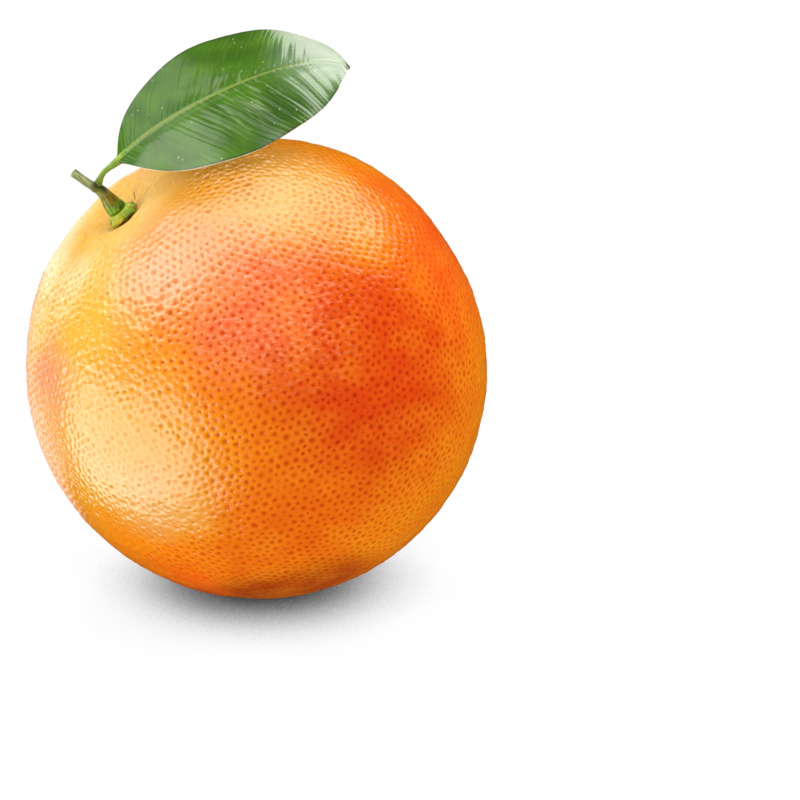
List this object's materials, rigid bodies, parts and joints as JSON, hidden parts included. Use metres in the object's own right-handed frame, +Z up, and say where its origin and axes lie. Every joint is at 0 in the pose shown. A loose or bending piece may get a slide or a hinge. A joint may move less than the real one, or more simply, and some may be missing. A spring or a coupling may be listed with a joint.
{
  "type": "grapefruit with stem and leaf",
  "caption": "Whole round citrus fruit with pitted orange-pink peel, a sunken stem end with its green calyx, a short cut stem and a glossy green leaf, resting on a small flat spot.",
  "frame": {"origin": "centre of the small flat spot that the fruit rests on", "axes": "+Z up, -Y to the front, +X to the right seen from the front; the stem end leans up and to the left"},
  "size_m": [0.1116, 0.1112, 0.136],
  "materials": {
    "peel": "waxy, finely pitted, semi-gloss",
    "calyx": "satin",
    "stem": "ridged, satin",
    "leaf_stalk": "satin",
    "leaf": "glossy, veined"
  },
  "bodies": {
    "root": {"fruit": "peel", "calyx": "calyx", "stem": "stem", "leaf_stalk": "leaf_stalk", "leaf_blade": "leaf"}
  },
  "joints": []
}
